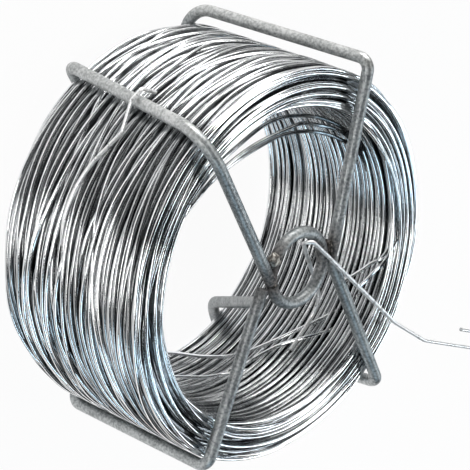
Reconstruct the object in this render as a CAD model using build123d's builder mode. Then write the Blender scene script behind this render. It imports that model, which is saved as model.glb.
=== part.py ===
from build123d import *

import os
from math import cos, radians, sin, sqrt

# Coil of galvanized wire held in a carrier bent from round rod, in millimetres.
# It is drawn standing, as it is seen from the front: the origin is the centre of the coil, +Y runs along
# its axis to the back, +X is right and +Z is up. A round coil rolls, so at last it is laid on its back end,
# on the hooks of the carrier: its axis is then upright, the guide ring is on top, and the side that was
# uppermost points to +Y.

# Wire and coil
wire_diameter = 1.0
coil_outer_diameter = 100.0
winding_depth = 10.0
coil_width = 48.0
back_dish = 3.3
outer_edge_round = 3.2
bore_edge_round = 1.5
layer_spacing = 2.0
layer_groove_depth = 0.5
side_ridge_spacing = 4.2
side_groove_depth = 0.9

# Carrier rods: how they lie on the coil, and their bends along the middle of the rod
rod_diameter = 3.0
seat_gap = 0.3
right_stand_off = 2.2
upper_left_lift = 2.1
upper_left_front_stand_off = 1.6
upper_left_back_stand_off = 0.7
back_hook_length = 9.5
tight_bend = 3.0
right_back_bend = 6.0
strut_bend = 26.0
upper_left_bend = 10.0
apex_bend = 4.0

# Guide ring at the front, through which the wire is drawn
ring_inner_diameter = 15.0
ring_offset = 2.0

# Inner ends of the front arms and of the strut at the ring
upper_left_end_rise = 0.4
lower_left_end_drop = 1.7
apex_drop = 1.5
strut_weld_distance = 3.7
strut_reach = 1.2
strut_inset = 1.5
strut_stand_off = 0.5

# Corners of the carrier, in degrees clockwise from the top seen from the front
upper_left_front_angle = -35.4
upper_left_back_angle = -28.8
upper_right_front_angle = 29.5
upper_right_back_angle = 17.0
lower_right_front_angle = 142.0
lower_right_back_angle = 147.4
lower_left_front_angle = -146.3
lower_left_back_angle = -148.5
strut_weld_angle = 30.0

# Free inner end of the wire: up from the bore, through the ring and out to the right, where it is bent back
tail_root_angle = 151.0
tail_rise_angle = 129.0
tail_eye_angle = 13.0
tail_root_share = 0.34
tail_eye_gap = 0.5
tail_hook_width = 2.0
tail_hook_depth = 1.6
tail_lift = 0.7
tail_fall = 2.0
tail_bend = 8.0
tail_hook_bend = 1.0
tail_end_bend = 2.0
tail_drift = 1.6
tail_return_rise = 4.8
tail_tip_return = 8.9
tail_run_shares = ((0.669, -0.476), (0.871, -0.636), (1.304, -0.826))

# Outer end of the wire, tied over the upper left rod
tie_start_angle = -51.0
tie_kink_angle = -41.0
tie_far_angle = -26.5
tie_start_share = 0.01
tie_kink_share = -0.054
tie_over_share = -0.07
tie_far_share = -0.055
tie_bend = 1.5

# Sizes worked out from those above
wire_radius = wire_diameter / 2
coil_radius = coil_outer_diameter / 2
coil_bore_diameter = coil_outer_diameter - 2 * winding_depth
bore_radius = coil_bore_diameter / 2
half_width = coil_width / 2
rod_radius = rod_diameter / 2
layer_count = round(winding_depth / layer_spacing)
layer_pitch = winding_depth / layer_count
side_half_width = half_width - outer_edge_round
side_ridge_count = round(2 * side_half_width / side_ridge_spacing)
side_pitch = 2 * side_half_width / side_ridge_count
side_groove_radius = coil_radius - side_groove_depth
ring_radius = ring_inner_diameter / 2 + rod_radius
arm_plane = half_width + seat_gap + rod_radius
hug_radius = coil_radius + seat_gap + rod_radius
stand_radius = hug_radius + right_stand_off
ring_center = Vector(ring_offset, -arm_plane, 0)
back_slope = back_dish / winding_depth
back_crown_radius = coil_radius - outer_edge_round
back_plane = arm_plane - back_slope * outer_edge_round


def around(angle, radius, y):
    """Point on a circle about the coil's axis, at an angle clockwise from the top."""
    return Vector(radius * sin(radians(angle)), y, radius * cos(radians(angle)))


def bent_bar(points, bends, diameter):
    """Round bar along straight runs, with a bend of its own radius at each corner."""
    with BuildPart() as bar:
        with BuildLine() as route:
            FilletPolyline(*points, radius=bends)
        with BuildSketch(Plane(origin=route.line @ 0, z_dir=route.line % 0)):
            Circle(diameter / 2)
        sweep(path=route.line)
    return bar.part


def edge_drop(depth, edge_round):
    """How far a rounded edge falls back, at a depth in from the coil's side."""
    reach = max(edge_round - depth, 0)
    return edge_round - sqrt(edge_round**2 - reach**2)


def end_height(radius, dish):
    """Half width of the coil at a radius: an end is dished towards the bore, with rounded edges."""
    outer = edge_drop(coil_radius - radius, outer_edge_round)
    inner = edge_drop(radius - bore_radius, bore_edge_round)
    return half_width - max(outer, inner) - dish * (coil_radius - radius) / winding_depth


def end_outline(dish):
    """Outline of one end from the bore outwards: each layer is a ridge, with a groove to the next."""
    layer_radii = [bore_radius + layer_pitch / 2 + layer_pitch * layer for layer in range(layer_count)]
    heights = [end_height(radius, dish) for radius in layer_radii]
    outline = [(bore_radius, heights[0] - layer_groove_depth)]
    for radius, height, outer_height in zip(layer_radii, heights, heights[1:]):
        outline.append((radius, height))
        outline.append((radius + layer_pitch / 2, min(height, outer_height) - layer_groove_depth))
    outline.append((layer_radii[-1], heights[-1]))
    outline.append((side_groove_radius, side_half_width))
    return outline


def side_outline():
    """Outline of the outer side from the back to the front: the turns are ridges, with a groove to the next."""
    outline = [(coil_radius, side_half_width - side_pitch / 2)]
    for ridge in range(1, side_ridge_count):
        groove_y = side_half_width - side_pitch * ridge
        outline.append((side_groove_radius, groove_y))
        outline.append((coil_radius, groove_y - side_pitch / 2))
    return outline


# Coil: one turned solid. Its layers show on both ends as rings, and its turns on the outer side as ridges
back_outline = end_outline(back_dish)
front_outline = [(radius, -height) for radius, height in end_outline(0)]
with BuildPart() as wire_coil:
    with BuildSketch(Plane.XY):
        with BuildLine():
            Polyline(*back_outline, *side_outline(), *reversed(front_outline), close=True)
        make_face()
    revolve(axis=Axis.Y)

# Guide ring: rod bent to a closed ring, in the plane of the front arms
with BuildPart() as guide_ring:
    with BuildSketch(Plane.XY):
        with Locations((ring_offset + ring_radius, -arm_plane)):
            Circle(rod_radius)
    revolve(axis=Axis((ring_offset, 0, 0), (0, 1, 0)))

# Upper left arm: from its cut end in front of the ring, over the coil, to a hook on the back
weld_pitch = rod_diameter + seat_gap / 2
upper_left_side = ring_radius + sqrt(weld_pitch**2 - upper_left_lift**2)
upper_left_plane = arm_plane + upper_left_lift
upper_left_front_radius = hug_radius + upper_left_front_stand_off
upper_left_back_radius = hug_radius + upper_left_back_stand_off
upper_left_end = Vector(ring_offset - upper_left_side, -upper_left_plane, upper_left_end_rise)
upper_left_corner = around(upper_left_front_angle, upper_left_front_radius, -upper_left_plane)
upper_left_back = around(upper_left_back_angle, upper_left_back_radius, back_plane)
with BuildPart() as upper_left_arm:
    upper_left_hook = around(upper_left_back_angle, upper_left_back_radius - back_hook_length, back_plane)
    add(
        bent_bar(
            (upper_left_end, upper_left_corner, upper_left_back, upper_left_hook),
            (upper_left_bend, tight_bend),
            rod_diameter,
        )
    )

# Lower left arm: from its end beside the ring, under the coil, to a hook on the back
lower_left_side = sqrt((ring_radius + weld_pitch) ** 2 - lower_left_end_drop**2)
lower_left_end = Vector(ring_offset - lower_left_side, -arm_plane, -lower_left_end_drop)
lower_left_corner = around(lower_left_front_angle, hug_radius, -arm_plane)
with BuildPart() as lower_left_arm:
    lower_left_back = around(lower_left_back_angle, hug_radius, back_plane)
    lower_left_hook = around(lower_left_back_angle, hug_radius - back_hook_length, back_plane)
    add(
        bent_bar(
            (lower_left_end, lower_left_corner, lower_left_back, lower_left_hook),
            tight_bend,
            rod_diameter,
        )
    )

# Right arms: one rod, bent to a V against the ring. Its lower leg goes round the coil, in through the
# back of the bore and forward again as a strut to the lower left arm
apex = Vector(ring_offset + ring_radius + rod_diameter, -arm_plane, -apex_drop)
strut_hook_radius = bore_radius - seat_gap - rod_radius - strut_inset
strut_hook_y = back_plane + strut_stand_off - back_slope * (back_crown_radius - strut_hook_radius)
strut_hook = around(lower_right_back_angle, strut_hook_radius, strut_hook_y)
lower_right_back_y = back_plane + back_slope * (stand_radius - back_crown_radius)
lower_right_front = around(lower_right_front_angle, stand_radius, -arm_plane)
lower_right_back = around(lower_right_back_angle, stand_radius, lower_right_back_y)
arm_direction = (lower_left_end - lower_left_corner).normalized()
arm_side = Vector(arm_direction.Z, 0, -arm_direction.X)
strut_seat = rod_diameter + seat_gap
strut_weld = (
    lower_left_end
    - arm_direction * strut_weld_distance
    + arm_side * strut_seat * cos(radians(strut_weld_angle))
    + Vector(0, strut_seat * sin(radians(strut_weld_angle)), 0)
)
strut_end = strut_weld + (strut_weld - strut_hook).normalized() * strut_reach
with BuildPart() as right_arms:
    right_route = (
        around(upper_right_back_angle, stand_radius - back_hook_length, back_plane),
        around(upper_right_back_angle, stand_radius, back_plane),
        around(upper_right_front_angle, stand_radius, -arm_plane),
        apex,
        lower_right_front,
        lower_right_back,
        strut_hook,
        strut_end,
    )
    right_bends = (right_back_bend, tight_bend, apex_bend, tight_bend, tight_bend, strut_bend)
    add(bent_bar(right_route, right_bends, rod_diameter))

# Free end of the wire: it leaves the innermost turns, hooks over the ring's inside and runs out in front
# of the arms, and its tip is bent back
tail_inner_radius = bore_radius - seat_gap - wire_radius
tail_root_y = -half_width * tail_root_share
tail_eye_radius = ring_radius - rod_radius - wire_radius - tail_eye_gap
tail_eye = ring_center + around(tail_eye_angle, tail_eye_radius, -wire_radius)
tail_front = arm_plane + rod_radius + wire_radius + tail_lift
tail_run_y = -tail_front - tail_fall
with BuildPart() as wire_tail:
    tail_route = [
        around(tail_root_angle, tail_inner_radius, tail_root_y),
        around(tail_rise_angle, tail_inner_radius, tail_root_y),
        tail_eye,
        tail_eye + Vector(tail_hook_width, -tail_hook_depth, 0),
    ]
    for run, (x_share, z_share) in enumerate(tail_run_shares):
        tail_y = tail_run_y - tail_drift * run
        tail_route.append(Vector(coil_radius * x_share, tail_y, coil_radius * z_share))
    tail_far = tail_route[-1]
    tail_along = (tail_far - tail_route[-2]).normalized()
    tail_turn = tail_far + Vector(0, 0, tail_return_rise)
    tail_route.append(tail_turn)
    tail_route.append(tail_turn - tail_along * tail_tip_return)
    tail_bends = (tail_bend, tail_hook_bend, tail_hook_bend, tail_bend, tail_bend, tail_end_bend, tail_end_bend)
    add(bent_bar(tail_route, tail_bends, wire_diameter))

# Outer end of the wire: it lifts off the turns, crosses over the upper left rod and is bent down behind it
tie_radius = coil_radius + seat_gap + wire_radius
tie_start_y = coil_width * tie_start_share
tie_kink_y = coil_width * tie_kink_share
tie_over_y = coil_width * tie_over_share
tie_far_y = coil_width * tie_far_share
rod_run_share = (tie_over_y + upper_left_plane) / (back_plane + upper_left_plane)
rod_middle = upper_left_corner + (upper_left_back - upper_left_corner) * rod_run_share
rod_outward = Vector(rod_middle.X, 0, rod_middle.Z).normalized()
rod_across = Vector(rod_outward.Z, 0, -rod_outward.X)
tie_over = rod_radius + seat_gap + wire_radius
with BuildPart() as tied_wire_end:
    tie_route = (
        around(tie_start_angle, tie_radius, tie_start_y),
        around(tie_kink_angle, tie_radius, tie_kink_y),
        rod_middle + rod_outward * tie_over - rod_across * rod_radius,
        rod_middle + rod_outward * tie_over + rod_across * tie_over,
        around(tie_far_angle, tie_radius, tie_far_y),
    )
    add(bent_bar(tie_route, tie_bend, wire_diameter))

pieces = {
    "wire_coil": wire_coil,
    "guide_ring": guide_ring,
    "upper_left_arm": upper_left_arm,
    "lower_left_arm": lower_left_arm,
    "right_arms": right_arms,
    "wire_tail": wire_tail,
    "tied_wire_end": tied_wire_end,
}
# The coil is laid on its back end
laid_angle = -90
os.makedirs("parts", exist_ok=True)
for name, piece in pieces.items():
    laid = piece.part.rotate(Axis.X, laid_angle)
    laid.label = name
    export_step(laid, f"parts/{name}.step")
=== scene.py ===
# %% [markdown]
# A coil of galvanized wire in its rod carrier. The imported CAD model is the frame: its rods, ring, free
# end and tied end keep their shape here, and get their finish. Its turned coil only has the right size,
# so every turn of wire that can be seen is modelled here and stands in its place.

# %% Load the frame
import math

import bmesh
import bpy
import numpy as np
from mathutils import Matrix, Vector
from mathutils.noise import noise as lump


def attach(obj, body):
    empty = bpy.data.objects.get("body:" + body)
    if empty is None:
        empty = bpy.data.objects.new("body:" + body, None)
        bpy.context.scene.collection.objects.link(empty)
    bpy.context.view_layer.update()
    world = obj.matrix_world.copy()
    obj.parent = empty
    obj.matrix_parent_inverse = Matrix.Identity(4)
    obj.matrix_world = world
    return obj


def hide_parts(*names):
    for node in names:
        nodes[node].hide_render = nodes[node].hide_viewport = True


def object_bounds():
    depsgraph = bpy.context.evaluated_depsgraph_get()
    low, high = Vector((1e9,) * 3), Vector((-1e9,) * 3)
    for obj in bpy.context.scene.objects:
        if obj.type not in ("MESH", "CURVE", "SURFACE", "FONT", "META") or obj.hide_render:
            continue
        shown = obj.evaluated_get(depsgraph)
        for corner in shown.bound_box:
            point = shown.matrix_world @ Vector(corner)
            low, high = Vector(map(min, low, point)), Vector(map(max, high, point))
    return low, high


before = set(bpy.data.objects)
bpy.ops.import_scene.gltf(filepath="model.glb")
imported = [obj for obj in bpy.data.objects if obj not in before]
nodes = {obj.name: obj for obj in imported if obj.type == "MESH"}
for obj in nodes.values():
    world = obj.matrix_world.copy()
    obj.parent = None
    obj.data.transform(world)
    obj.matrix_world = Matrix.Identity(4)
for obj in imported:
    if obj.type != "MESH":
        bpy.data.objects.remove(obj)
cad_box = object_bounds()
scene = bpy.context.scene
print("nodes", sorted(nodes))
print("box in millimetres", [[round(1000 * v, 1) for v in corner] for corner in cad_box])

# %% [markdown]
# The coil lies on its back end, so its axis is upright. The photograph shows it standing on its rim. To
# think in the photograph's terms, a point is written as right, back and up of the standing coil, and
# turned into the frame by one small function. The angle of a turn is counted clockwise from the top.

# %% Standing directions and the coil's own sizes
MM = 0.001


def standing(right, back, up):
    """Point or direction of the standing coil, given right, back and up, in the frame."""
    return Vector((right, up, -back))


coil_points = np.array([vertex.co for vertex in nodes["wire_coil"].data.vertices])
coil_radii = np.hypot(coil_points[:, 0], coil_points[:, 1])
coil_radius = float(coil_radii.max())
bore_radius = float(coil_radii.min())
floor_height = cad_box[0].z
half_width = 24 * MM
back_dish = 3.3 * MM
front_round = 1.4 * MM
back_round = 1.7 * MM
bore_round = 1.5 * MM
wire_diameter = 1.0 * MM
wire_radius = wire_diameter / 2
print("coil", round(coil_radius / MM, 2), "bore", round(bore_radius / MM, 2), "mm in radius")

# %% [markdown]
# The camera comes first, because every choice of detail depends on what it sees. Its angle and distance
# were found by fitting the rims of the coil to the photograph, with a long lens. It keeps the upright of
# the photograph, so against this floor it is turned on its side.

# %% Camera
camera_azimuth = math.radians(-44.868)
camera_elevation = math.radians(23.708)
camera_distance = 588.2 * MM
camera_lens = 181.4
camera_shift = (0.0406, 0.0098)


def show(name, data):
    """New object for a mesh, a light or a camera, linked into the scene."""
    thing = bpy.data.objects.new(name, data)
    scene.collection.objects.link(thing)
    return thing


def add_camera():
    """Camera at the photograph's angle to the standing coil."""
    level = math.cos(camera_elevation)
    aside = math.sin(camera_azimuth) * level
    ahead = math.cos(camera_azimuth) * level
    toward = standing(aside, -ahead, math.sin(camera_elevation))
    right = standing(0, 0, 1).cross(toward).normalized()
    up = toward.cross(right)
    lens = bpy.data.cameras.new("camera")
    lens.lens = camera_lens
    lens.shift_x, lens.shift_y = camera_shift
    camera = show("camera", lens)
    turn = Matrix((right, up, toward)).transposed().to_4x4()
    camera.matrix_world = Matrix.Translation(toward * camera_distance) @ turn
    scene.camera = camera
    return camera


camera = add_camera()
print("camera at", [round(v / MM) for v in camera.location], "mm")

# %% [markdown]
# Bright wire only looks like metal when it has something light and something dark to mirror. The floor is
# the first light thing. It glows for the camera and for mirrored rays, so that the background is white,
# and the small share that doesn't glow still takes the coil's shadow. A floor lit only by lamps would come
# out grey.

# %% Floor
floor_half = 4.0
floor_glow_share = 0.95
floor_roughness = 0.9


def link(tree, source, target):
    """Joins two sockets."""
    tree.links.new(source, target)


def new_material(name):
    """New material with a principled shader on its surface, with its node tree and that shader."""
    material = bpy.data.materials.new(name)
    material.use_nodes = True
    tree = material.node_tree
    tree.nodes.clear()
    output = tree.nodes.new("ShaderNodeOutputMaterial")
    shader = tree.nodes.new("ShaderNodeBsdfPrincipled")
    link(tree, shader.outputs["BSDF"], output.inputs["Surface"])
    return material, tree, shader


def spread(tree, source, low, high):
    """Maps a value from 0 to 1 on to a range."""
    node = tree.nodes.new("ShaderNodeMapRange")
    node.inputs["To Min"].default_value = low
    node.inputs["To Max"].default_value = high
    link(tree, source, node.inputs["Value"])
    return node.outputs["Result"]


def sum_of(tree, first, second):
    """Adds two values."""
    node = tree.nodes.new("ShaderNodeMath")
    node.operation = "ADD"
    link(tree, first, node.inputs[0])
    link(tree, second, node.inputs[1])
    return node.outputs[0]


def add_floor():
    """Wide pale floor under the coil, white to the camera, which keeps a soft shadow."""
    mesh = bpy.data.meshes.new("floor")
    signs = ((-1, -1), (1, -1), (1, 1), (-1, 1))
    corners = [(x * floor_half, y * floor_half, floor_height) for x, y in signs]
    mesh.from_pydata(corners, [], [(0, 1, 2, 3)])
    material, tree, shader = new_material("pale_floor")
    surface = shader.outputs["BSDF"].links[0].to_socket
    shader.inputs["Base Color"].default_value = (0.92, 0.92, 0.92, 1)
    shader.inputs["Roughness"].default_value = floor_roughness
    glow = tree.nodes.new("ShaderNodeEmission")
    path = tree.nodes.new("ShaderNodeLightPath")
    seen = sum_of(tree, path.outputs["Is Camera Ray"], path.outputs["Is Glossy Ray"])
    mix = tree.nodes.new("ShaderNodeMixShader")
    link(tree, spread(tree, seen, 0.0, floor_glow_share), mix.inputs["Fac"])
    link(tree, shader.outputs["BSDF"], mix.inputs[1])
    link(tree, glow.outputs["Emission"], mix.inputs[2])
    link(tree, mix.outputs["Shader"], surface)
    mesh.materials.append(material)
    floor = show("floor", mesh)
    return floor


floor = add_floor()
print(floor.name, "at", round(floor_height / MM, 2), "mm")

# %% [markdown]
# A lamp shows on round wire as a bright line, wherever the wire mirrors it towards the camera. So each lamp
# is placed for the part of the coil that it lights: a broad one for the white top, strips for the front
# rim, the left side and the front end, and cooler ones from below and from the right, where the photograph
# is bluish. The room itself is nearly dark, which keeps the gaps between the turns dark.

# %% Lamps and room
lamp_distance = 0.9
white = (1.0, 0.99, 0.97)
pale_blue = (0.86, 0.94, 1.0)
cool = (0.64, 0.85, 1.0)
room_colour = (0.8, 0.92, 1.0)
room_strength = 0.018
# Name, direction in which it stands, direction of its long side, its two sides, brightness and colour
lamps = (
    ("top_lamp", standing(0.3, 0.1, 0.94), standing(1, 0, -0.3), (0.8, 0.9), 8.0, white),
    ("key_lamp", standing(0.55, -0.4, 0.7), standing(1, 0, -0.6), (0.8, 0.12), 2.2, white),
    ("arch_lamp", standing(-0.6, -0.33, 0.72), standing(0.8, 0, 0.55), (0.55, 0.05), 5.0, white),
    ("left_lamp", standing(-0.85, -0.45, -0.02), standing(0.5, -0.4, -0.7), (0.75, 0.14), 9.0, white),
    ("low_lamp", standing(-0.3, -0.65, -0.65), standing(0.8, 0, -0.3), (0.6, 0.15), 5.6, cool),
    ("right_lamp", standing(0.85, -0.3, -0.35), standing(0, 0, 1), (0.7, 0.09), 3.8, cool),
    ("face_lamp", standing(0.5, -0.86, 0.1), standing(-0.3, -0.2, 1), (0.9, 0.13), 6.0, white),
    ("front_lamp", standing(0.646, -0.649, -0.402), standing(0, 0, 1), (0.2, 0.16), 8.0, pale_blue),
)


def add_lamp(name, direction, along, sides, brightness, colour):
    """Soft oblong lamp that stands off in a direction and faces the coil."""
    long_side, short_side = sides
    light = bpy.data.lights.new(name, "AREA")
    light.shape = "RECTANGLE"
    light.size = long_side
    light.size_y = short_side
    light.energy = brightness * math.pi * long_side * short_side
    light.color = colour
    toward = direction.normalized()
    across = toward.cross(along).normalized()
    turn = Matrix((across.cross(toward), across, toward)).transposed().to_4x4()
    lamp = show(name, light)
    lamp.matrix_world = Matrix.Translation(toward * lamp_distance) @ turn
    return lamp


def add_room():
    """Plain, nearly dark room all round."""
    world = bpy.data.worlds.new("room")
    world.use_nodes = True
    background = world.node_tree.nodes["Background"]
    background.inputs["Color"].default_value = (*room_colour, 1)
    background.inputs["Strength"].default_value = room_strength
    scene.world = world


for row in lamps:
    add_lamp(*row)
add_room()
scene.view_settings.view_transform = "Standard"
print(len(lamps), "lamps")

# %% [markdown]
# Every finish here is made of the same few steps: a noise over some place, a colour ramp over the noise, a
# value spread over a range, and a bump. Each step is a small function, so that a finish reads as a recipe.

# %% Steps of a finish
fine_grain = 2600.0
grain_height = 0.05 * MM


def ramp(tree, source, stops):
    """Colour ramp over a value, from pairs of place and colour."""
    node = tree.nodes.new("ShaderNodeValToRGB")
    elements = node.color_ramp.elements
    while len(elements) < len(stops):
        elements.new(0.5)
    for element, (place, colour) in zip(elements, stops):
        element.position = place
        element.color = (*colour, 1)
    link(tree, source, node.inputs["Fac"])
    return node.outputs["Color"]


def noise(tree, vector, scale, detail):
    """Noise texture over a vector."""
    node = tree.nodes.new("ShaderNodeTexNoise")
    node.inputs["Scale"].default_value = scale
    node.inputs["Detail"].default_value = detail
    link(tree, vector, node.inputs["Vector"])
    return node.outputs["Fac"]


def roughen(tree, shader, height, strength, distance):
    """Bump from a height."""
    node = tree.nodes.new("ShaderNodeBump")
    node.inputs["Strength"].default_value = strength
    node.inputs["Distance"].default_value = distance
    link(tree, height, node.inputs["Height"])
    link(tree, node.outputs["Normal"], shader.inputs["Normal"])


def attribute(tree, name, output):
    """Value stored on the mesh."""
    node = tree.nodes.new("ShaderNodeAttribute")
    node.attribute_name = name
    return node.outputs[output]


def own_place(tree):
    """Place on the object itself, in metres."""
    return tree.nodes.new("ShaderNodeTexCoord").outputs["Object"]


print("finishes are made of ramps, noise and bumps")

# %% [markdown]
# Galvanized wire is drawn steel under a thin coat of zinc: bright, a little streaky along its length, and
# not quite the same from one turn to the next. Each turn carries its own tone, with painted shade added
# where it sinks, and a place along its length, so that the streaks run along the wire. Noise in plain space
# would run across the turns. The free end has been handled, so its zinc is duller and whiter.

# %% Wire finish
streak_scale = 9.0
tone_weight = 0.6
streak_weight = 0.56


def wire_finish(name, dark, light):
    """Zinc-coated drawn wire, with a tone and painted shade for each turn and streaks along it."""
    material, tree, shader = new_material(name)
    streak = noise(tree, attribute(tree, "along", "Vector"), streak_scale, 4.0)
    grain = noise(tree, own_place(tree), fine_grain, 3.0)
    tone_and_shade = spread(tree, attribute(tree, "tone_and_shade", "Fac"), 0.0, tone_weight)
    value = sum_of(tree, tone_and_shade, spread(tree, streak, 0.0, streak_weight))
    link(tree, ramp(tree, value, ((0.15, dark), (0.9, light))), shader.inputs["Base Color"])
    shader.inputs["Metallic"].default_value = 1.0
    rough = sum_of(tree, spread(tree, streak, 0.05, 0.17), spread(tree, grain, 0.0, 0.05))
    link(tree, rough, shader.inputs["Roughness"])
    roughen(tree, shader, grain, 0.25, grain_height)
    return material


def pale_finish(name, dull, light):
    """Duller, whiter zinc of the free end, which has been handled."""
    material, tree, shader = new_material(name)
    place = own_place(tree)
    cloud = noise(tree, place, 400.0, 3.0)
    link(tree, ramp(tree, cloud, ((0.35, dull), (0.6, light))), shader.inputs["Base Color"])
    shader.inputs["Metallic"].default_value = 0.6
    link(tree, spread(tree, cloud, 0.24, 0.32), shader.inputs["Roughness"])
    roughen(tree, shader, noise(tree, place, fine_grain, 3.0), 0.3, grain_height)
    return material


bright_wire = wire_finish("bright_wire", (0.12, 0.127, 0.133), (0.97, 0.985, 0.995))
pale_wire = pale_finish("pale_wire", (0.88, 0.89, 0.9), (0.99, 0.99, 0.99))
# Darker copy of the wire finish, as painted shade for the winding seen at the bottom of the gaps.
painted_shade_wire = wire_finish("painted_shade_wire", (0.12, 0.125, 0.13), (0.3, 0.31, 0.32))
print("finishes", bright_wire.name, pale_wire.name, painted_shade_wire.name)

# %% [markdown]
# Seen in section, the winding is a rounded rectangle, and the turns that show lie along its outline: up the
# outside, over the front end, down the bore and across the dished back. That outline is worked out once,
# from four corners with their own rounding. A turn is then only a place along the outline and a depth
# below it, both changing slowly as the turn goes round.

# %% Outline of the winding
outline_step = 0.1 * MM
arc_points = 24
outline_corners = (
    (coil_radius, -half_width),
    (coil_radius, half_width),
    (bore_radius, half_width),
    (bore_radius, -half_width + back_dish),
)
corner_rounds = (back_round, front_round, bore_round, bore_round)


def rounded_outline(corners, rounds):
    """Closed outline through corners, each rounded by its own radius, as evenly spaced points."""
    points = []
    count = len(corners)
    for index, corner in enumerate(corners):
        here = np.array(corner)
        before = np.array(corners[index - 1]) - here
        after = np.array(corners[(index + 1) % count]) - here
        before /= np.linalg.norm(before)
        after /= np.linalg.norm(after)
        half_turn = math.acos(float(np.clip(before @ after, -1, 1))) / 2
        reach = rounds[index] / math.tan(half_turn)
        inward = (before + after) / np.linalg.norm(before + after)
        middle = here + inward * rounds[index] / math.sin(half_turn)
        start = here + before * reach - middle
        end = here + after * reach - middle
        sweep = math.pi - 2 * half_turn
        for share in np.linspace(0, 1, arc_points):
            arm = start * math.sin((1 - share) * sweep) + end * math.sin(share * sweep)
            points.append(middle + arm / math.sin(sweep))
    points.append(points[0])
    points = np.array(points)
    lengths = np.concatenate(([0], np.cumsum(np.linalg.norm(np.diff(points, axis=0), axis=1))))
    even = np.arange(0, lengths[-1], outline_step)
    spaced = np.stack([np.interp(even, lengths, points[:, axis]) for axis in range(2)], axis=1)
    return spaced, lengths[-1]


outline, outline_length = rounded_outline(outline_corners, corner_rounds)
slopes = np.roll(outline, -1, axis=0) - np.roll(outline, 1, axis=0)
slopes /= np.linalg.norm(slopes, axis=1)[:, None]
outward = np.stack((slopes[:, 1], -slopes[:, 0]), axis=1)
print("outline", round(outline_length / MM, 1), "mm round the section")


def on_outline(place, depth):
    """Radius and height at a place along the outline and a depth below it."""
    spot = (place % outline_length) / outline_step
    low = np.floor(spot).astype(int) % len(outline)
    high = (low + 1) % len(outline)
    share = (spot - np.floor(spot))[..., None]
    point = outline[low] * (1 - share) + outline[high] * share
    normal = outward[low] * (1 - share) + outward[high] * share
    point = point - normal * depth[..., None]
    return point[..., 0], point[..., 1]


# %% [markdown]
# Winding is played through in small: turn after turn is laid on a bed of what is already there. Each turn
# wanders along the outline, and of several such turns the one is laid that sinks deepest, because a wire
# slides into the furrows below it. Wherever it still meets an earlier turn it has to climb over it. The
# wire is stiff, so the climb is spread out and leaves the dark wedges that such coils show. This gives
# crossings that sit on each other as real ones do, with no simulation.

# %% Laying one turn
steps_round = 150
angles = np.linspace(0, 2 * math.pi, steps_round, endpoint=False)
columns = np.arange(steps_round)
chance = np.random.default_rng(11)
bed_rows = len(outline)
bed = np.zeros((bed_rows, steps_round))
near_reach = round(wire_diameter / outline_step) - 1
near_rows = np.arange(-near_reach, near_reach + 1)
hump = np.sqrt(wire_diameter**2 - (near_rows * outline_step) ** 2)
stiff_steps = 4
start_choices = 300
slide_chance = 0.12


def bell(reach):
    """Weights that fall off on both sides of the middle and add up to one."""
    weights = np.hanning(2 * reach + 3)[1:-1]
    return weights / weights.sum()


def stiffen(climb):
    """Spreads a climb along the wire, without letting it sink below what it crosses."""
    wide = climb.copy()
    for shift in range(-stiff_steps, stiff_steps + 1):
        wide = np.maximum(wide, np.roll(climb, shift))
    ringed = np.concatenate((wide[-stiff_steps:], wide, wide[:stiff_steps]))
    return np.convolve(ringed, bell(stiff_steps), mode="valid")


def rows_at(place):
    """Rows of the bed under a turn."""
    return np.rint(place / outline_step).astype(int) % bed_rows


def lay_turn(draw_swing, tries, rows):
    """Lays one turn where it sinks deepest, and raises the bed there."""
    starts = (chance.permutation(rows)[:start_choices] + chance.uniform(0, 1)) * outline_step
    best = None
    for _ in range(tries):
        swing = draw_swing()
        climbs = bed[rows_at(starts[:, None] + swing), columns].mean(axis=1)
        climbs += chance.uniform(0, slide_chance, len(starts)) * wire_diameter
        lowest = int(climbs.argmin())
        if best is None or climbs[lowest] < best[0]:
            best = (climbs[lowest], starts[lowest] + swing)
    place = best[1]
    lift = stiffen(bed[rows_at(place), columns])
    for shift, rise in zip(near_rows, hump):
        near = (rows_at(place) + shift) % bed_rows
        bed[near, columns] = np.maximum(bed[near, columns], lift + rise)
    return place, lift


print("bed of", bed_rows, "rows and", steps_round, "steps round the coil")

# %% [markdown]
# How far a turn wanders depends on when it was laid. The first ones lie nearly side by side, the last ones
# run across the others, and those on the front end all drift the same way, because the wire went on over
# the rim there. A swing is a sum of a few waves round the coil, so that it closes on itself.

# %% Winding the coil
wave_fall = 1.2
face_margin = 0.3 * MM


def wander(reach, waves):
    """Slow random swing round the coil, a sum of waves that get weaker as they get shorter."""
    swing = np.zeros(steps_round)
    for wave in range(1, waves + 1):
        swing += chance.normal() / wave**wave_fall * np.cos(wave * angles + chance.uniform(0, 2 * math.pi))
    return swing * reach


def neat_swing():
    """Swing of the lower turns, which lie nearly side by side."""
    return wander(0.3 * MM, 2)


def middle_swing():
    """Swing of the turns above them."""
    return wander(0.7 * MM, 3)


def loose_swing():
    """Swing of the last turns."""
    return wander(1.2 * MM, 4)


def cross_swing():
    """Swing of the few turns on top, which ran across the others as the coil was finished."""
    return wander(2.8 * MM, 6)


def bore_swing():
    """Swing of the innermost turns, which lay on the winder's drum."""
    return wander(0.5 * MM, 4)


def fan_swing():
    """Swing of the turns on the front end, which all drift outwards at the right and back at the left."""
    lean = chance.uniform(0.8, 3.6) * MM
    return wander(1.0 * MM, 4) - lean * np.cos(angles - math.radians(chance.uniform(100, 160)))


all_rows = np.arange(bed_rows)
on_front = outline[:, 1] > half_width - face_margin
on_bore = outline[:, 0] < bore_radius + face_margin
on_side = outline[:, 0] > coil_radius - face_margin
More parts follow.
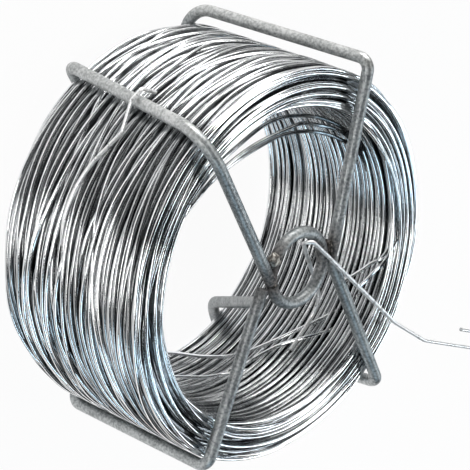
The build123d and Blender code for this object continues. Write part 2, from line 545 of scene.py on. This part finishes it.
# Turns to lay, their swing, how many swings are tried, and the rows that they may start from
windings = (
    (100, neat_swing, 2, all_rows),
    (90, middle_swing, 6, all_rows),
    (50, loose_swing, 6, all_rows[~on_front & ~on_bore]),
    (14, fan_swing, 3, all_rows[on_front]),
    (28, cross_swing, 2, all_rows[on_side]),
    (26, bore_swing, 8, all_rows[on_bore]),
)
laid = [lay_turn(swing, tries, rows) for count, swing, tries, rows in windings for _ in range(count)]
places = np.array([place for place, lift in laid])
lifts = np.array([lift for place, lift in laid])
print(len(places), "turns laid, up to", round(lifts.max() / MM, 2), "mm above the ground")

# %% [markdown]
# The lifts become depths below the outline: the bed, evened out over a few millimetres, is taken as the
# height that should lie on the outline, so the coil comes out full at its corners too. The few highest
# climbs are pressed down, as the carrier's rods press them on the real coil, so that no turn stands in the
# way of a rod. Turns that are buried nearly all the way round are not needed.

# %% Depth of each turn, and which turns show
crown_rise = 0.3 * MM
rows_evened = 14
steps_evened = 10
press = 0.12 * MM
proud = 0.1 * MM
cover_rows = 4
most_cover = 0.2 * wire_diameter
least_shown = 0.04


def smoothed(field, reach, axis):
    """Evens out a field along one of its axes."""
    shifts = range(-reach, reach + 1)
    return sum(weight * np.roll(field, shift, axis=axis) for shift, weight in zip(shifts, bell(reach)))


evened = smoothed(smoothed(bed, rows_evened, 0), steps_evened, 1)
crowns = (evened - wire_diameter + crown_rise)[rows_at(places), columns]
depths = wire_radius - proud + press * np.logaddexp(0, (crowns - lifts) / press)
cover = np.full(places.shape, np.inf)
for shift in (-cover_rows, 0, cover_rows):
    rows = (rows_at(places) + shift) % bed_rows
    rise = math.sqrt(wire_diameter**2 - (shift * outline_step) ** 2)
    cover = np.minimum(cover, bed[rows, columns] - lifts - rise)
shown = (cover < most_cover).mean(axis=1) > least_shown
radii, heights = on_outline(places[shown], depths[shown])
reach = (radii.max() + wire_radius) / MM
print(len(radii), "turns show, and reach", round(reach, 2), "mm from the axis")

# %% [markdown]
# Each turn is a closed tube along its line. Blender's curves could do this too, but a few hundred curves
# convert slowly, and arrays of points give the same tube in one go and carry the tone and the place along
# the wire with them.

# %% Tubes from lines
tube_sides = 8
streak_apart = 3.7


def store(mesh, name, kind, field, values):
    """Keeps values at the mesh's points, for its finish to read."""
    layer = mesh.attributes.new(name, kind, "POINT")
    layer.data.foreach_set(field, values.ravel().astype(np.float32))


def smooth_mesh(name, points, faces, material):
    """Smoothly shaded mesh in one material."""
    mesh = bpy.data.meshes.new(name)
    mesh.from_pydata(points.tolist(), [], faces.tolist())
    mesh.polygons.foreach_set("use_smooth", np.ones(len(faces), bool))
    mesh.materials.append(material)
    return mesh


def tube_mesh(name, lines, radius, closed, tones_and_shade, material):
    """One mesh of round tubes along lines of points, with a tone and painted shade for each line or for each
    of its points.
    """
    count, steps, _ = lines.shape
    ahead = np.roll(lines, -1, axis=1)
    behind = np.roll(lines, 1, axis=1)
    if not closed:
        ahead[:, -1] = lines[:, -1]
        behind[:, 0] = lines[:, 0]
    run = ahead - behind
    run /= np.linalg.norm(run, axis=2)[..., None]
    side = np.cross(run, (0.0, 0.0, 1.0))
    side /= np.linalg.norm(side, axis=2)[..., None]
    top = np.cross(side, run)
    sweep = np.linspace(0, 2 * math.pi, tube_sides, endpoint=False)
    ring = side[:, :, None] * np.cos(sweep)[:, None] + top[:, :, None] * np.sin(sweep)[:, None]
    points = (lines[:, :, None] + radius * ring).reshape(-1, 3)
    index = np.arange(count * steps * tube_sides).reshape(count, steps, tube_sides)
    here = index if closed else index[:, :-1]
    there = np.roll(index, -1, axis=1) if closed else index[:, 1:]
    corners = (here, there, np.roll(there, -1, axis=2), np.roll(here, -1, axis=2))
    mesh = smooth_mesh(name, points, np.stack(corners, axis=-1).reshape(-1, 4), material)
    spin = np.arctan2(lines[..., 0], lines[..., 1])
    lane = np.broadcast_to(np.arange(count)[:, None] * streak_apart, spin.shape)
    along = np.stack((np.cos(spin), np.sin(spin), lane), axis=-1)
    store(mesh, "along", "FLOAT_VECTOR", "vector", np.repeat(along[:, :, None], tube_sides, axis=2))
    store(mesh, "tone_and_shade", "FLOAT", "value", np.repeat(np.broadcast_to(tones_and_shade, (count, steps)), tube_sides))
    return show(name, mesh)


def as_wire(piece):
    """Rides the piece on the coil's body, and hides the CAD coil that it stands in for."""
    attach(piece, "root")
    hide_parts("wire_coil")
    return piece


def round_the_axis(radii, heights):
    """Points of turns, from their radius and height at each angle."""
    return np.stack((radii * np.sin(angles), radii * np.cos(angles), heights), axis=-1)


lines = round_the_axis(radii, heights)
print(lines.shape[0], "lines of", lines.shape[1], "points")

# %% [markdown]
# About one turn in five has a dull coat. A stretch of wire that dips under others is darkened with its
# depth, as painted shade for the shade its neighbours cast on it. The turns are sorted into one piece for
# each side of the coil, which keeps every piece small, and are drawn a little thin, so that a dark line is
# left between neighbours.

# %% Turns of the winding
dull_share = 0.2
dull_tone = 0.3
clean_tone = 0.72
tone_range = 0.28
painted_shade_from = 0.55 * MM
painted_shade_reach = 0.95 * MM
painted_shade_fade = 0.85
turn_radius = 0.95 * wire_radius
rim_share = 0.3

one_each = (len(lines), 1)
tones_and_shade = np.where(chance.uniform(0, 1, one_each) < dull_share, dull_tone, clean_tone)
tones_and_shade = tones_and_shade + chance.uniform(0, tone_range, one_each)
# Painted shade: the tone is darkened as the turn sinks below the others.
painted_shade_share = np.clip((depths[shown] - painted_shade_from) / painted_shade_reach, 0, 1)
tones_and_shade = tones_and_shade * (1 - painted_shade_fade * painted_shade_share)
middle_radius = radii.mean(axis=1)
ring_width = coil_radius - bore_radius
outside = middle_radius > coil_radius - rim_share * ring_width
inside = middle_radius < bore_radius + rim_share * ring_width
ends = ~outside & ~inside
front = heights.mean(axis=1) > 0
regions = {
    "outside_front_turns": outside & front,
    "outside_back_turns": outside & ~front,
    "bore_front_turns": inside & front,
    "bore_back_turns": inside & ~front,
    "front_end_turns": ends & front,
    "back_end_turns": ends & ~front,
}
for name, chosen in regions.items():
    piece = as_wire(tube_mesh(name, lines[chosen], turn_radius, True, tones_and_shade[chosen], bright_wire))
    print(name, int(chosen.sum()), "turns,", 2 * len(piece.data.polygons), "triangles")

# %% [markdown]
# A few turns have come away from the top of the bore and hang across it, three lie slanting over its bottom
# and two over its right side. Each is a line through a few points, given by angle, distance from the axis
# and height, with both ends buried in the winding. A smooth curve through the points does, because stiff
# wire bends evenly. The outer end of the wire lifts off the winding in the same way before it is tied over
# the rod.

# %% Loose turns
line_points = 90
loose_points = (
    ((-78, 41.6, 21.8), (-52, 40.9, 23.0), (-36, 40.0, 23.1), (-22, 38.8, 22.8), (-6, 38.5, 22.0),
     (12, 37.3, 21.0), (30, 37.0, 19.5), (50, 38.6, 17.2), (68, 41.6, 15.2)),
    ((-82, 42.0, 21.5), (-58, 41.0, 22.9), (-48, 39.3, 23.0), (-38, 38.1, 23.0), (-24, 36.3, 22.8),
     (-8, 35.1, 22.5), (4, 35.0, 22.0), (12, 35.4, 21.4), (25, 35.2, 20.5), (40, 36.4, 18.5),
     (60, 39.4, 15.6), (76, 42.0, 13.8)),
    ((-66, 42.0, 20.6), (-47, 38.9, 22.3), (-32, 36.5, 22.7), (-16, 34.5, 22.6), (0, 33.8, 22.0),
     (16, 33.4, 21.3), (30, 33.7, 20.0), (45, 35.2, 18.5), (62, 38.9, 16.2), (80, 42.0, 14.3)),
    ((187, 42.0, -25.0), (178.6, 38.9, -20.2), (171.3, 38.6, -10.4), (163.7, 38.6, -3.6), (151.2, 38.6, 2.1),
     (140.7, 38.8, 7.3), (128, 42.0, 12.0)),
    ((172, 42.0, -1.6), (163.4, 38.9, 1.2), (152.3, 38.7, 4.3), (144.1, 39.0, 9.6), (134, 42.0, 15.0)),
    ((204, 42.0, -10.6), (193.5, 38.9, -7.5), (181.1, 38.7, -2.1), (173.9, 39.0, -0.3), (160, 42.0, 2.2)),
    ((97, 42.0, 22.8), (104.8, 39.7, 21.5), (108, 38.8, 19.2), (111.4, 38.8, 17.0), (114.7, 38.8, 14.8),
     (117.7, 38.9, 12.7), (124, 42.0, 9.0)),
    ((98, 42.0, 23.2), (105.9, 39.8, 22.4), (110.3, 38.8, 20.9), (114.7, 38.8, 19.1), (118.9, 38.9, 17.5),
     (126, 42.0, 15.0)),
)
loose_tones = np.array((0.0, 0.1, 0.0, 1.0, 1.0, 1.0, 0.8, 0.8))[:, None]
lead_points = (
    (-50.6, 50.8, -0.36), (-55, 50.75, -1.6), (-61, 50.4, -2.9), (-69, 49.5, -4.0), (-78, 47.6, -4.6),
)
lead_tone = np.array((0.9,))


def loose_line(points):
    """Evenly bent line through points given by angle, radius and height in degrees and millimetres."""
    table = np.array(points, float)
    fine = np.linspace(0, len(table) - 1, line_points)
    knot = np.clip(np.floor(fine).astype(int), 0, len(table) - 2)
    share = (fine - knot)[:, None]
    before = table[np.clip(knot - 1, 0, None)]
    here, there = table[knot], table[knot + 1]
    after = table[np.clip(knot + 2, None, len(table) - 1)]
    bend = here + 0.5 * share * (there - before + share * (
        2 * before - 5 * here + 4 * there - after + share * (3 * (here - there) + after - before)))
    angle = np.radians(bend[:, 0])
    return np.stack((bend[:, 1] * np.sin(angle), bend[:, 1] * np.cos(angle), bend[:, 2]), axis=-1) * MM


loose_lines = np.array([loose_line(points) for points in loose_points])
loose_turns = as_wire(tube_mesh("loose_turns", loose_lines, wire_radius, False, loose_tones, bright_wire))
print(loose_turns.name, len(loose_lines), "stretches")
lead_line = loose_line(lead_points)[None]
lead = as_wire(tube_mesh("tied_end_lead", lead_line, wire_radius, False, lead_tone, pale_wire))
print(lead.name, "runs into the tied end")

# %% [markdown]
# Below the turns that show, the winding goes on. All that can be seen of it is wire at the bottom of the
# gaps, where shade falls, so a turned skin a little below the laid turns is enough. Its finish is a darker
# copy of the wire's, as painted shade.

# %% Turns below
heart_depth = 2.4 * MM
heart_spacing = 0.5 * MM
heart_steps = 96


def add_heart():
    """Turned skin below the laid turns, in a darker wire finish as painted shade."""
    loop = np.arange(0, outline_length, heart_spacing)
    radius, height = on_outline(loop, np.full(len(loop), heart_depth))
    spin = np.linspace(0, 2 * math.pi, heart_steps, endpoint=False)
    points = np.stack((
        radius[None] * np.sin(spin)[:, None],
        radius[None] * np.cos(spin)[:, None],
        np.broadcast_to(height[None], (heart_steps, len(loop))),
    ), axis=-1).reshape(-1, 3)
    here = np.arange(heart_steps * len(loop)).reshape(heart_steps, len(loop))
    there = np.roll(here, -1, axis=0)
    corners = (here, np.roll(here, -1, axis=1), np.roll(there, -1, axis=1), there)
    faces = np.stack(corners, axis=-1).reshape(-1, 4)
    return as_wire(show("turns_below", smooth_mesh("turns_below", points, faces, painted_shade_wire)))


heart = add_heart()
print(heart.name, 2 * len(heart.data.polygons), "triangles")

# %% [markdown]
# The carrier is bent from thicker rod with a dull, slightly grainy zinc coat. Its finish changes along the
# rod. Spot welding has burnt the zinc at the ring, so the coat turns dark and brownish within a few
# millimetres of each weld, and at the third spot this darkening is also painted shadow under a rod's cut
# end. The runs over the coil get lighter greys as painted light, and a smoother coat. Both shares are
# worked out from the place on the object, so no map has to be painted.

# %% Where the zinc is burnt, and where shadow and light are painted
# Place of each weld, and its half sizes to the right, back and up in millimetres
weld_and_shadow_spots = (
    (standing(-7.3, -26.7, 5.0) * MM, (2.0, 1.3, 1.7)),
    (standing(12.4, -26.2, 1.6) * MM, (1.0, 1.4, 2.6)),
    # The third spot is in part a weld, and in part a dark lump with burnt zinc round it, as painted shadow
    # under a rod's cut end at the ring.
    (standing(-7.7, -27.3, -1.2) * MM, (1.2, 0.8, 0.8)),
)
burnt_from = 1.5 * MM
burnt_to = 8.0 * MM
burnt_most = 0.9
# Painted light: rod runs this far from the axis and more take the lighter greys.
painted_light_from = 50.4 * MM
painted_light_to = 55.0 * MM


def blend(tree, share, first, second):
    """Mixes two colours by a share."""
    node = tree.nodes.new("ShaderNodeMix")
    node.data_type = "RGBA"
    link(tree, share, node.inputs[0])
    link(tree, first, node.inputs[6])
    link(tree, second, node.inputs[7])
    return node.outputs[2]


def vector_math(tree, operation, place, other=None):
    """Vector node on a place and, where the operation takes one, another vector."""
    node = tree.nodes.new("ShaderNodeVectorMath")
    node.operation = operation
    link(tree, place, node.inputs[0])
    if other is not None:
        node.inputs[1].default_value = other
    return node


def fade(tree, distance, near, far, ends):
    """Value that goes from one end to the other as a distance goes from near to far."""
    result = spread(tree, distance, *ends)
    result.node.inputs["From Min"].default_value = near
    result.node.inputs["From Max"].default_value = far
    return result


def burnt_and_shadow_share(tree, place):
    """How far the zinc is burnt, from most at a weld to nothing about 8 mm away; at the third spot it is
    painted shadow.
    """
    total = None
    for spot, sizes in weld_and_shadow_spots:
        distance = vector_math(tree, "DISTANCE", place, spot).outputs["Value"]
        share = fade(tree, distance, burnt_from, burnt_to, (burnt_most, 0.0))
        total = share if total is None else sum_of(tree, total, share)
    return total


def painted_light_share(tree, place):
    """How far the rod takes painted light, from nothing at the front to all on the runs over the coil."""
    flat = vector_math(tree, "MULTIPLY", place, (1, 1, 0)).outputs["Vector"]
    from_axis = vector_math(tree, "LENGTH", flat).outputs["Value"]
    return fade(tree, from_axis, painted_light_from, painted_light_to, (0.0, 1.0))


print("zinc burnt at", len(weld_and_shadow_spots), "welds")

# %% [markdown]
# The rods keep their CAD shape. Their finish is grey with fine speckles and pits, a little rougher than the
# wire. Three ramps run over the same speckles, one for the dull coat, one lighter for the painted light and
# one for the burnt zinc and the painted shadow, and the shares blend them.

# %% Rod finish
sharp_angle = math.radians(50)
dull_greys = ((0.36, (0.17, 0.182, 0.188)), (0.47, (0.29, 0.308, 0.314)), (0.6, (0.46, 0.482, 0.485)))
painted_light_greys = ((0.36, (0.34, 0.35, 0.345)), (0.47, (0.5, 0.51, 0.505)), (0.6, (0.7, 0.705, 0.7)))
burnt_and_shadow_browns = ((0.4, (0.04, 0.036, 0.038)), (0.6, (0.2, 0.18, 0.17)))


def rod_finish():
    """Dull grainy zinc on bent rod, burnt near the welds with painted shadow at one, and lighter as painted
    light on the runs over the coil.
    """
    material, tree, shader = new_material("dull_rod")
    place = own_place(tree)
    speckle = noise(tree, place, 1500.0, 3.0)
    cloud = noise(tree, place, 160.0, 3.0)
    value = sum_of(tree, spread(tree, speckle, 0.0, 0.7), spread(tree, cloud, 0.0, 0.3))
    dull, bright, brown = [ramp(tree, value, stops) for stops in (dull_greys, painted_light_greys, burnt_and_shadow_browns)]
    # Painted light: the runs over the coil are blended to lighter greys.
    painted_light = painted_light_share(tree, place)
    # Burnt zinc near the welds, and near the third spot painted shadow under a rod's cut end.
    burnt_and_shadow = burnt_and_shadow_share(tree, place)
    zinc = blend(tree, painted_light, dull, bright)
    link(tree, blend(tree, burnt_and_shadow, zinc, brown), shader.inputs["Base Color"])
    shader.inputs["Metallic"].default_value = 0.75
    rough = sum_of(tree, spread(tree, cloud, 0.42, 0.56), spread(tree, burnt_and_shadow, 0.0, 0.2))
    rough = sum_of(tree, rough, spread(tree, painted_light, 0.0, -0.14))
    link(tree, rough, shader.inputs["Roughness"])
    roughen(tree, shader, speckle, 0.35, 0.1 * MM)
    return material


def finish_node(name, material):
    """Gives a carried-over piece its finish, smooth along the rod and sharp at its cut ends."""
    mesh = nodes[name].data
    mesh.materials.clear()
    mesh.materials.append(material)
    mesh.shade_smooth()
    mesh.set_sharp_from_angle(angle=sharp_angle)


dull_rod = rod_finish()
for name in ("guide_ring", "upper_left_arm", "lower_left_arm", "right_arms"):
    finish_node(name, dull_rod)
for name in ("wire_tail", "tied_wire_end"):
    finish_node(name, pale_wire)
print("rods and wire ends finished")

# %% [markdown]
# Spot welds hold the rods to the ring. A weld is a small lump of steel squeezed out of the joint, so a ball
# of facets is pushed in and out at random and stretched to fill the crevice. A smooth ball would look like
# a bead of solder.

# %% Spot welds
pale_tints = ((0.4, (0.1, 0.09, 0.08)), (0.52, (0.33, 0.31, 0.28)), (0.64, (0.55, 0.54, 0.5)))
burnt_and_shadow_tints = ((0.4, (0.015, 0.013, 0.012)), (0.52, (0.06, 0.053, 0.048)), (0.64, (0.2, 0.18, 0.165)))
# How often the lumps come over the ball, and how high they are
big_lumps = (1.6, 0.3)
small_lumps = (4.0, 0.12)


def weld_finish(name, tints):
    """Crusty lump of a weld."""
    material, tree, shader = new_material(name)
    crust = noise(tree, own_place(tree), 1100.0, 4.0)
    link(tree, ramp(tree, crust, tints), shader.inputs["Base Color"])
    shader.inputs["Metallic"].default_value = 0.6
    link(tree, spread(tree, crust, 0.3, 0.65), shader.inputs["Roughness"])
    roughen(tree, shader, crust, 0.6, 0.2 * MM)
    return material


def add_weld(name, spot, sizes, material):
    """Lumpy bead at a spot, with its half sizes to the right, back and up."""
    shape = bmesh.new()
    bmesh.ops.create_icosphere(shape, subdivisions=4, radius=1.0)
    stretch = standing(sizes[0], -sizes[1], sizes[2]) * MM
    for vertex in shape.verts:
        swell = 1
        for often, high in (big_lumps, small_lumps):
            swell += high * lump(vertex.co * often + spot / MM)
        vertex.co = vertex.co * stretch * swell + spot
    mesh = bpy.data.meshes.new(name)
    shape.to_mesh(mesh)
    shape.free()
    mesh.shade_smooth()
    mesh.materials.append(material)
    bead = show(name, mesh)
    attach(bead, "root")
    return bead


pale_weld = weld_finish("pale_weld", pale_tints)
burnt_and_shadow_weld = weld_finish("burnt_and_shadow_weld", burnt_and_shadow_tints)
# The third bead, dark and burnt, also stands as painted shadow under a rod's cut end.
weld_materials = (pale_weld, burnt_and_shadow_weld, burnt_and_shadow_weld)
for number, ((spot, sizes), material) in enumerate(zip(weld_and_shadow_spots, weld_materials), 1):
    bead = add_weld(f"spot_weld_{number}", spot, sizes, material)
    print(bead.name, len(bead.data.polygons), "triangles")
